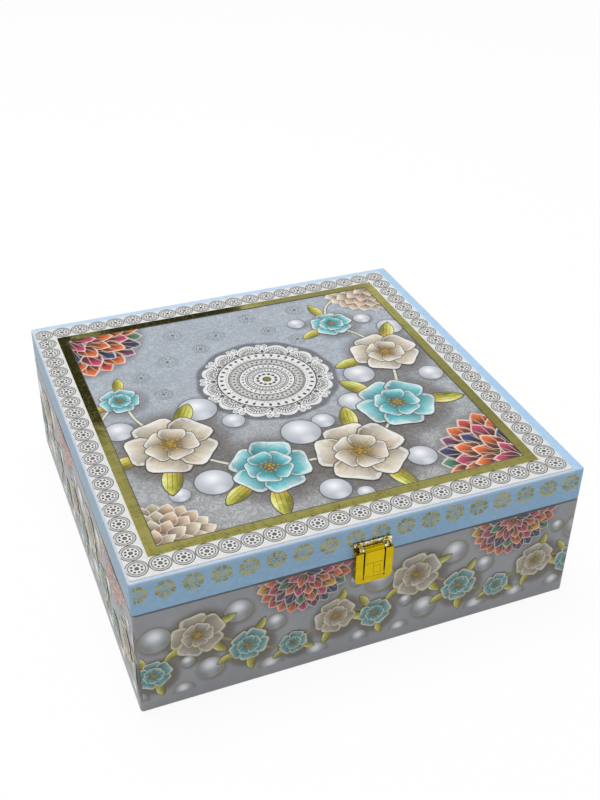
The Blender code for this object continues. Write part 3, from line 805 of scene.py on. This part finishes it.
def garland(blossom_layout, leaf_layout, pearl_layout, vine_layout, petals, pearls, stems, starts=(0.0,)):
    """A garland's meshes by name. Pearls are (finish, steps), stems (line, finish) with the outline first."""
    places = {"teal": [], "cream": []}
    beads = []
    for start in starts:
        source = random.Random(blossom_seed)
        for kind, x, y, radius, turn in blossom_layout:
            blossom = (start + x * mm, y * mm, radius * mm)
            places[kind] += blossom_places(*blossom, turn, source)
            beads += stamen_places(*blossom)
    meshes = {f"{kind}_blossoms": place_copies(unit_petal, found, f"{kind}_{petals}")
              for kind, found in places.items()}
    meshes["stamens"] = place_copies(disc_outline(1.0, 7), beads, "stamen_ink")
    meshes["leaves"] = place_copies(unit_leaf, leaf_places(leaf_layout, blossom_layout, starts), "leaves")
    finish, steps = pearls
    meshes["pearls"] = place_copies(disc_outline(1.0, steps), pearl_places(pearl_layout, starts), finish)
    for level, name in enumerate(("vine_outlines", "vines")):
        line, finish = stems[level]
        meshes[name] = joined([vine(vine_layout, line, level, finish, start) for start in starts])
    return meshes


# Border rosettes and frames

def ring_rosette(finish):
    """Rings and a ring of dots round an open middle."""
    parts = [ring_line(radius, line, 28, finish)
             for radius, line in ((5.60, 0.46), (4.95, 0.14), (4.25, 0.42), (0.92, 0.50))]
    return joined(parts + [ring(disc(0.72, 6), finish, 8, 2.72, 0.2)])


def faint_rosette(x, y, size, finish):
    """A small dotted rosette, printed lightly."""
    parts = [ring_line(size * share, line, 28, finish, layer) for share, line in ((1.0, 0.24), (0.80, 0.20))]
    parts.append(ring(disc(0.52, 6, layer), finish, 8, size * 0.52))
    mesh = joined(parts + [ring(disc(1.15, 8, layer), finish, 1)])
    mesh.transform(shift(x * mm, y * mm, -sunk))
    return mesh


def border_rows(shape, finish):
    """Four rows of a shape round the print, a little nearer at the front and cut at the left."""
    half = border_count * border_pitch / 2
    row = grow(straight_row, finish, Shape=shape, Count=border_count, Pitch=border_pitch,
               First=(-half, -half, -sunk))
    rows = ring(row, finish, 4)
    rows.transform(shift(0, 0.45 * mm, 0) @ Matrix.Diagonal((1, 0.9936, 1, 1)))
    return clipped(rows, (left, print_middle.x - print_low.x))


def square_frame(outer_half, band, height, finish, slope=0.0):
    """A flat square frame with mitred corners, its outer side upright or sloped outwards."""
    inner = outer_half - band
    rings = ((outer_half + slope, 0), (outer_half, height), (inner, height), (inner, 0))
    points = [(x * reach, y * reach, level - sunk)
              for reach, level in rings for x, y in ((-1, -1), (1, -1), (1, 1), (-1, 1))]
    faces = [(a + k, a + (k + 1) % 4, (a + 4) % 16 + (k + 1) % 4, (a + 4) % 16 + k)
             for a in (0, 4, 8, 12) for k in range(4)]
    mesh = bpy.data.meshes.new("frame")
    mesh.from_pydata(points, [], faces)
    mesh.materials.append(looks[finish])
    return mesh


# The round lace ornament

def lace_lines(finish):
    """Rings, dots, strokes and scallops of the lace, from the middle out."""
    parts = [ring_line(radius, line, steps, finish) for radius, line, steps in (
        (2.5, 0.40, 24), (5.5, 0.30, 24), (8.15, 0.44, 32), (8.85, 0.26, 32), (11.5, 0.40, 40),
        (12.7, 0.34, 40), (16.4, 0.50, 48), (22.0, 0.28, 56), (22.8, 0.32, 56), (29.3, 0.75, 72))]
    rows = (
        (disc(0.95, 8), 12, 5.5),
        (plate(oblong_outline(-0.21 * mm, 0, 0.42 * mm, 1.7 * mm)), 36, 9.3),
        (petal(1.4, 1.1, 0.5, 0.5, 4), 30, 13.6),
        (disc(0.55, 6), 40, 17.4),
        (petal(1.7, 1.3, 0.5, 0.8, 4), 40, 18.8),
        (disc(0.40, 5), 48, 21.2),
        (disc(0.34, 5), 64, 24.2),
        (petal(2.6, 1.75, 0.6, 0.5, 4), 36, 25.4),
    )
    parts += [ring(shape, finish, count, radius, 0.11 * index)
              for index, (shape, count, radius) in enumerate(rows)]
    edge = 29.2
    parts.append(ring(lace_fan(finish), finish, 12, edge, -pi / 2))
    parts.append(ring(lace_curls(finish), finish, 12, edge, pi / 12 - pi / 2))
    return joined(parts)


def lace_fan(finish):
    """One half-round fan of the lace edge: two arcs, strokes and dots."""
    parts = [clipped(ring_line(radius, line, 32, finish), (down, -0.3 * mm))
             for radius, line in ((2.3, 0.30), (7.1, 0.34))]
    angles = [radians(8 + 164 * k / 10) for k in range(11)]
    places = [(*polar(0, 0, 2.9 * mm, angle), 0, angle - pi / 2) for angle in angles]
    parts.append(place_copies(petal(3.6, 0.72, 0.6, 0.5, 4), places, finish))
    places = [polar(0, 0.6 * mm, 1.3 * mm, radians(10 + 160 * k / 3)) for k in range(4)]
    parts.append(place_copies(disc(0.45, 6), places, finish))
    return joined(parts)


def lace_curls(finish):
    """Between two fans: two small rings over three drops."""
    sides = [(side * 1.9 * mm, 8.2 * mm) for side in (-1, 1)]
    curls = place_copies(ring_line(1.0, 0.26, 12, finish), sides, finish)
    drops = [(0, 0.6 * mm)] + [(side * 1.0 * mm, 4.6 * mm, 0, side * -0.5, 0.45, 0.5) for side in (-1, 1)]
    return joined([curls, place_copies(petal(3.6, 1.7, 0.6, 0.6, 5), drops, finish)])


# Foil flowers on the lid's edge, and lines pressed into the latch

def foil_flower(finish):
    """Eight broad petals round a ring of short strokes and a dot."""
    return joined([ring(petal(3.4, 2.9, 0.62, 0.36, 9, 0.16), finish, 8, 2.45, pi / 8),
                   ring(petal(1.2, 0.85, 0.5, 0.5, 4), finish, 8, 1.15), ring(disc(0.9, 8), finish, 1)])


def side_matrix(reach):
    """Stands a drawing up on the front face: its +Y goes up and its +Z faces the viewer."""
    return shift(0, -reach, 0) @ Matrix.Rotation(pi / 2, 4, "X")


def edge_flowers(finish):
    """The row of foil flowers on the lid's front, cut at both corners, and on its back."""
    row = grow(straight_row, finish, Shape=foil_flower(finish), Count=flower_count, Pitch=flower_pitch,
               First=(flower_first, flower_height, -sunk))
    row = clipped(row, (left, flat_half), (right, flat_half))
    row.transform(side_matrix(half_width))
    return ring(row, finish, 2)


def latch_lines(finish):
    """Fine lines pressed into the latch's tongue, drawn as thin darker plates: painted shade of the grooves.
    """
    flap_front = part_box("latch_flap")[0].y
    lines = ((0.0, 66.9, 9.6, 0.28), (0.0, 57.6, 9.0, 0.28), (-0.4, 62.1, 0.26, 8.8), (1.9, 64.6, 3.4, 0.24),
             (1.9, 59.9, 3.4, 0.24), (3.5, 62.2, 0.24, 4.6))
    outlines = [oblong_outline((x - long / 2) * mm, (z - high / 2) * mm, long * mm, high * mm)
                for x, z, long, high in lines]
    mesh = joined([plate(outline, layer) for outline in outlines])
    mesh.materials.append(looks[finish])
    mesh.transform(shift(0, sunk, 0) @ side_matrix(-flap_front))
    return mesh


# Layouts, in millimetres from the print's middle or, on a side, from the cell's left end and the floor:
# blossoms (kind, x, y, radius, turn), leaves (blossom, degrees, length, width), pearls (x, y, radius)

lid_blossoms = (
    ("cream", -74, -26, 28, 0.3), ("teal", -30, -64, 25, 0.9), ("cream", 22, -68, 29, 0.1),
    ("teal", 62, -32, 26, 0.5), ("cream", 80, 22, 23, 0.2), ("teal", 62, 66, 15, 0.0),
    ("teal", -90, 26, 13, 0.7))
lid_leaves = (
    (0, 195, 26, 11), (0, 255, 28, 12), (0, 60, 24, 11), (1, 262, 27, 12), (1, 215, 24, 11), (2, 292, 26, 11),
    (2, 78, 26, 11), (3, 350, 26, 11), (3, 125, 24, 11), (4, 62, 24, 10), (4, 190, 24, 10), (5, 100, 20, 8),
    (5, 205, 18, 8), (6, 80, 17, 7), (6, 200, 16, 7))
lid_pearls = (
    (-50, 2, 12), (-34, -16, 7), (-98, -4, 9), (-62, -66, 11), (-82, -70, 6), (-2, -40, 12), (14, -34, 7),
    (-4, -94, 9), (10, -102, 5), (52, -84, 9), (38, -22, 9), (96, -10, 8), (54, 4, 10), (97, 50, 9),
    (84, 66, 6), (40, 74, 6))
lid_vine = ((-105, 10), (-90, 26), (-86, 4), (-74, -26), (-54, -50), (-30, -64), (-4, -66), (22, -68),
            (44, -54), (62, -32), (74, -6), (80, 22), (74, 46), (62, 66), (66, 86), (78, 98))
faint_rosettes = (
    (-40, 88, 6.0), (-52, 58, 6.5), (-72, 46, 5.5), (-14, 78, 6.0), (12, 92, 5.5), (34, 56, 6.0),
    (20, 72, 5.0), (46, 92, 6.0), (-64, 24, 5.5), (-28, 66, 5.0))
bright_fan_size, pale_fan_size, fan_half_angle = 47, 33, pi / 4 + 0.2

base_blossoms = (("cream", 28, 46, 15.5, 0.2), ("teal", 55, 29, 12, 0.7), ("teal", 4, 26, 10.5, 0.1),
                 ("cream", 104, 32, 13, 0.4), ("teal", 80, 21, 8.5, 1.0))
base_leaves = (
    (0, 215, 13, 5.5), (0, 312, 13, 6), (0, 20, 13, 5.5), (1, 205, 12, 5.5), (1, 275, 12, 5.5),
    (1, 60, 12, 5), (2, 285, 11, 5), (2, 120, 12, 5), (3, 250, 12, 5.5), (3, 340, 12, 5.5), (3, 75, 11, 5),
    (4, 215, 9, 4.5), (4, 330, 9, 4.5))
base_pearls = (
    (50, 55, 7.5), (6, 50, 8.5), (34, 20, 7.5), (70, 40, 5.5), (93, 10, 6), (115, 54, 4), (19, 9, 5.5),
    (67, 9, 6.5), (118, 11, 5), (22, 29, 4))
base_vine = ((0, 29), (4, 26), (14, 36), (28, 46), (42, 38), (55, 29), (68, 22), (80, 21), (92, 27),
             (104, 32), (114, 32), (123, 29))
base_fan_x, base_fan_size = 86, 27


def build_lid_print():
    """Everything printed or stamped on the lid's top sheet."""
    top = shift(print_middle.x, print_middle.y, print_high.z)
    growth = Matrix.Diagonal((mandala_growth, mandala_growth, 1, 1))
    mandala = top @ shift(mandala_place.x, mandala_place.y, 0) @ growth

    def lay(name, mesh, matrix=top):
        mesh.transform(matrix)
        piece(name, mesh, "lid")

    lay("lid_border_rosettes", border_rows(ring_rosette("gold_foil_line"), "gold_foil_line"))
    lay("lid_border_middles", border_rows(disc(0.82, 10), "foil_middle"))
    lay("lid_foil_frame", square_frame(foil_outer_half, foil_band, foil_frame_height, "gold_foil"))
    sheet_half = (print_high.x - print_low.x) / 2
    edge = square_frame(sheet_half, 0.1 * mm, print_high.z - lid_high.z, "top_print", 0.40 * mm)
    sheet_middle = (print_low + print_high) / 2
    lay("lid_sheet_edge", edge, shift(sheet_middle.x, sheet_middle.y, lid_high.z))
    line = square_frame(field_half + 0.35 * mm, 0.45 * mm, foil_frame_height + layer, "gold_foil_line")
    lay("lid_foil_frame_line", line)
    paper = place_copies(plate(lace_outline(40), 2 * layer), [(0, 0, -sunk)], "lace_white")
    lay("lid_lace_round", paper, mandala)
    bands = [ring_line(*band, 64, "lace_grey", height_of(3)) for band in ((19.4, 6.4), (12.1, 1.3))]
    lay("lid_lace_bands", joined(bands), mandala)
    lines = lace_lines("line_ink")
    lines.transform(shift(0, 0, 2 * layer))
    lay("lid_lace_lines", lines, mandala)
    lay("lid_lace_middle", place_copies(disc(2.3, 20, 3 * layer), [(0, 0)], "gold_foil"), mandala)
    for name, corners, size, tints, finish in (
            ("lid_bright_fans", ((-1, 1), (1, -1)), bright_fan_size, bright_tints, "fan_petals"),
            ("lid_pale_fans", ((1, 1), (-1, -1)), pale_fan_size, pale_tints, "pale_fan_petals")):
        centres = [(x * field_half, y * field_half, inwards - fan_half_angle, inwards + fan_half_angle)
                   for x, y in corners for inwards in [atan2(-y, -x)]]
        mesh = fans(centres, size * mm, tints, finish, 2)
        lay(name, clipped(mesh, *[(side, field_half + foil_band / 2) for side in (right, left, up, down)]))
    meshes = garland(lid_blossoms, lid_leaves, lid_pearls, lid_vine, "petals", ("pearls", 28),
                     ((2.6, "line_ink"), (1.8, "stem_ink")))
    clipped(meshes["leaves"], (left, field_half + 1 * mm))
    for name, mesh in meshes.items():
        lay("lid_" + name, mesh)
    lay("lid_faint_rosettes", joined([faint_rosette(*place, "faint_ink") for place in faint_rosettes]))


def build_base_print():
    """The printed cells of the front, cut at its ends and copied to all four sides."""
    starts = [cell_length * k for k in (-2, -1, 0, 1)]

    def lay(name, mesh):
        """Adds a mesh with its own finish, which is the last that it lists."""
        mesh = clipped(mesh, (left, flat_half), (right, flat_half), (down, -plain_strip))
        mesh.transform(side_matrix(half_width))
        piece("base_" + name, ring(mesh, mesh.materials[-1], 4), "base")

    centres = [(start + base_fan_x * mm, base_high.z - 0.4 * mm, pi - 0.15, 2 * pi + 0.15)
               for start in starts]
    mesh = fans(centres, base_fan_size * mm, bright_tints, "fan_petals")
    lay("fans", clipped(mesh, (up, base_high.z - 0.7 * mm)))
    meshes = garland(base_blossoms, base_leaves, base_pearls, base_vine, "gilt_petals", ("gilt_pearls", 20),
                     ((1.5, "gilt_line"), (0.8, "base_stem_ink")), starts)
    for name, mesh in meshes.items():
        lay(name, mesh)


# Camera, light and floor

def build_camera():
    """The camera looks down on the box's front left corner."""
    data = bpy.data.cameras.new("camera")
    data.lens = lens
    data.clip_start = 10 * mm
    camera = linked("camera", data)
    turns = ((camera_turn, "Z"), (pi / 2 - camera_rise, "X"), (camera_roll, "Z"))
    turned = reduce(Matrix.__matmul__, [Matrix.Rotation(angle, 4, axis) for angle, axis in turns])
    camera.matrix_world = turned @ shift(aim_right, aim_up, camera_distance)
    scene.camera = camera


def seen_directly(tree):
    """1 for rays that show the background, from the camera, a gloss or glass; and the gloss rays."""
    rays = add("LightPath", tree=tree).node.outputs
    total = plus(rays["Is Camera Ray"], rays["Is Glossy Ray"])
    return plus(total, rays["Is Transmission Ray"], clamp=True), rays["Is Glossy Ray"]


def build_world():
    """An even studio: white to the camera, and in a gloss a white horizon under a darker ceiling."""
    world = bpy.data.worlds.new("studio")
    scene.world = world
    world.use_nodes = True
    tree = world.node_tree
    shown, gloss = seen_directly(tree)
    across, ahead, rise = axes_of(add("TexCoord", out="Generated", tree=tree))
    ceiling = ramp(rise, (0.0, 1.0), (0.42, 0.95), (0.475, 0.68), (0.52, 0.45), (0.56, 0.38), (0.59, 0.48),
                   (0.66, 0.56), (0.74, 0.5), (0.77, 2.4), (0.81, 2.4), (0.84, 0.5))
    # Dark, duller and lit patches behind the box, which the foil frame mirrors
    slant = maths("DIVIDE", across, larger(ahead, 0.01))
    dark = times(span(slant, 0.341, 0.333), span(slant, -0.5, -0.4), span(rise, 0.577, 0.571),
                 span(rise, 0.30, 0.36))
    duller = times(span(slant, 0.350, 0.365), span(slant, 0.500, 0.488), span(rise, 0.490, 0.485))
    lit = times(span(slant, 0.148, 0.154), span(slant, 0.184, 0.177), span(rise, 0.506, 0.504))
    ceiling = dim(ceiling, span(duller, 0, 1, 1.0, 0.64, False))
    ceiling = mix(dark, ceiling, (0.045, 0.045, 0.045, 1))
    ceiling = mix(lit, ceiling, (0.40, 0.40, 0.40, 1))
    background = tree.nodes["Background"].inputs
    tree.links.new(mix(gloss, (1, 1, 1, 1), ceiling), background["Color"])
    tree.links.new(span(shown, 0, 1, sky_strength, 1.0, False), background["Strength"])


def build_key_light():
    data = bpy.data.lights.new("key", "AREA")
    data.shape = "DISK"
    data.size = key_size
    data.energy = key_strength
    lamp = linked("key", data)
    lamp.location = key_place
    lamp.visible_glossy = False
    lamp.rotation_euler = (-key_place).to_track_quat("-Z", "Y").to_euler()


def build_floor():
    """A pale floor, white to the camera apart from the box's soft shadow."""
    mesh = bpy.data.meshes.new("floor")
    work = bmesh.new()
    bmesh.ops.create_grid(work, x_segments=8, y_segments=8, size=floor_half)
    work.to_mesh(mesh)
    work.free()
    floor = linked("floor", mesh)
    material = bpy.data.materials.new("floor")
    material.use_nodes = True
    tree = material.node_tree
    tree.nodes.remove(tree.nodes["Principled BSDF"])
    white = (1, 1, 1, 1)
    plain = add("BsdfDiffuse", {"Color": (floor_tone, floor_tone, floor_tone, 1)}, tree=tree)
    pale = add("BsdfDiffuse", {"Color": white}, tree=tree)
    glow = add("Emission", {"Color": white, "Strength": 1.0}, tree=tree)
    lit = add("MixShader", {0: floor_glow, 1: pale, 2: glow})
    shown, gloss = seen_directly(tree)
    shader = add("MixShader", {0: shown, 1: plain, 2: lit})
    tree.links.new(shader, tree.nodes["Material Output"].inputs["Surface"])
    mesh.materials.append(material)


# All finishes, and those of the pieces that come from the frame

def dress_frame():
    """Gives every node of the frame the finish of the first word found in its name."""
    by_word = {"nail": "latch_gold", "latch_plate": "latch_plate_gold", "base_wrap": "grey_print",
               "lid_wrap": "blue_paper", "lid_top_print": "top_print", "bottom_sheet": "bottom_paper",
               "lining": "lining_paper", "board": "fibreboard", "rail": "fibreboard", "hinge": "hinge_brass",
               "latch": "latch_gold", "catch": "latch_gold"}
    for name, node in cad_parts.items():
        node.data.materials.clear()
        node.data.materials.append(looks[next(look for word, look in by_word.items() if word in name)])


def motif_spots(blossom_layout, pearl_layout, extra, full):
    """Soft shade right of and below blossoms and pearls, weaker under a radius of full."""
    spots = [((x + 1.5) * mm, (y - 2) * mm, size * 0.86 * mm, size * 0.56 * mm, 0.66 * min(1, size / full))
             for kind, x, y, size, turn in blossom_layout]
    return spots + [((x + 0.8) * mm, (y - 1.0) * mm, size * 0.9 * mm, size * 0.5 * mm, 0.32)
                    for x, y, size in pearl_layout] + extra


def make_looks():
    """All finishes, by name."""
    brown_line, grey_line, gilt_line = (84, 78, 66), (92, 96, 98), (176, 160, 84)
    shades = ((-1, bright_fan_size - 2, 6, 0.34), (1, pale_fan_size - 2, 5, 0.16))
    lid_fans = [(x * field_half, x * y * field_half, size * mm, fade * mm, depth)
                for y, size, fade, depth in shades for x in (-1, 1)]
    base_fans = [(base_fan_x * mm, base_high.z, base_fan_size * 0.92 * mm, 5 * mm, 0.3)]
    teal = ((0.0, 12, 66, 74), (0.34, 44, 130, 140), (0.68, 92, 178, 186), (0.98, 196, 224, 226))
    cream = ((0.0, 78, 60, 40), (0.36, 150, 132, 104), (0.70, 202, 190, 170), (1.0, 232, 229, 222))
    fan = ((0.0, 34, 16, 24), (0.38, 120, 92, 98), (0.82, 255, 250, 240), (1.0, 255, 255, 250))
    pale = ((0.0, 112, 96, 82), (0.38, 178, 168, 156), (0.82, 255, 252, 246), (1.0, 255, 255, 252))
    inks = (
        # Painted shade of the pressed lines on the latch's tongue
        ("latch_groove_shade", (150, 128, 8), (120, 98, 4), 0.3, 0.8),
        ("gold_foil_line", (66, 66, 56), (92, 90, 76), 0.35, 0.15),
        ("foil_middle", (106, 108, 96), (132, 134, 120), 0.35, 0.15),
        ("gilt_line", (150, 136, 70), (176, 160, 84), 0.3, 0.6),
        ("line_ink", (50, 52, 52), (84, 86, 84)),
        ("faint_ink", (88, 94, 100), (108, 115, 121)),
        ("stem_ink", (204, 205, 182), (224, 225, 210)),
        ("base_stem_ink", (134, 130, 84), (158, 154, 104)),
        ("stamen_ink", (120, 92, 24), (196, 158, 48), 0.35),
        ("lace_grey", (190, 191, 188), (206, 206, 203), 0.5),
    )
    finishes = [ink_finish(*ink) for ink in inks] + [
        blue_paper_finish(),
        grey_print_finish(motif_spots(base_blossoms, base_pearls, base_fans, 8), cell_length),
        top_print_finish(motif_spots(lid_blossoms, lid_pearls, lid_fans, 26)),
        lining_finish(),
        fibre_finish("bottom_paper", 0.85, (700, 5, 1.5, (1, 0.3, 1)),
                     ((0.3, 190, 187, 180), (0.7, 212, 209, 203)),
                     (35, 4, 0.5), (0.5, 0.75, 1.0, 0.88), 0.3, 0.04),
        fibre_finish("fibreboard", 0.9, (1400, 4, 2.0, (1, 0.4, 1)),
                     ((0.25, 138, 112, 82), (0.6, 182, 155, 120), (0.85, 205, 182, 150)),
                     (300, 3, 0.5), (0.3, 0.7, 0.9, 1.05), 0.6, 0.1),
        lace_finish(),
        metal_finish("hinge_brass", (222, 196, 128), (188, 158, 92), 0.24, 240),
        metal_finish("latch_gold", (199, 173, 14), (182, 156, 10), 0.09, 90, 0.08),
        painted_glints_finish(),
        foil_finish("gold_foil", (206, 199, 117), (192, 186, 102), 0.05),
        foil_finish("gold_foil_flower", (158, 150, 106), (124, 130, 98), 0.16),
        petal_finish("teal_petals", teal, grey_line),
        petal_finish("cream_petals", cream, brown_line),
        petal_finish("teal_gilt_petals", teal, gilt_line, 0.7, depth=0.72),
        petal_finish("cream_gilt_petals", cream, gilt_line, 0.7, depth=0.70),
        petal_finish("fan_petals", fan, (228, 204, 176), vein_count=3, tinted=True),
        petal_finish("pale_fan_petals", pale, (214, 206, 190), vein_count=1, tinted=True),
        leaf_finish("leaves", brown_line),
        pearl_finish("pearls", grey_line),
        pearl_finish("gilt_pearls", gilt_line, 0.60, 1.16),
    ]
    # A name that the frame has too gets a number after a dot
    return {finish.name.split(".")[0]: finish for finish in finishes}


scene.view_settings.view_transform = "Standard"
build_camera()
build_world()
build_key_light()
build_floor()
looks = make_looks()
dress_frame()
build_lid_print()
piece("latch_tongue_lines", latch_lines("latch_groove_shade"), "flap")
piece("lid_edge_flowers", edge_flowers("gold_foil_flower"), "lid")
build_base_print()
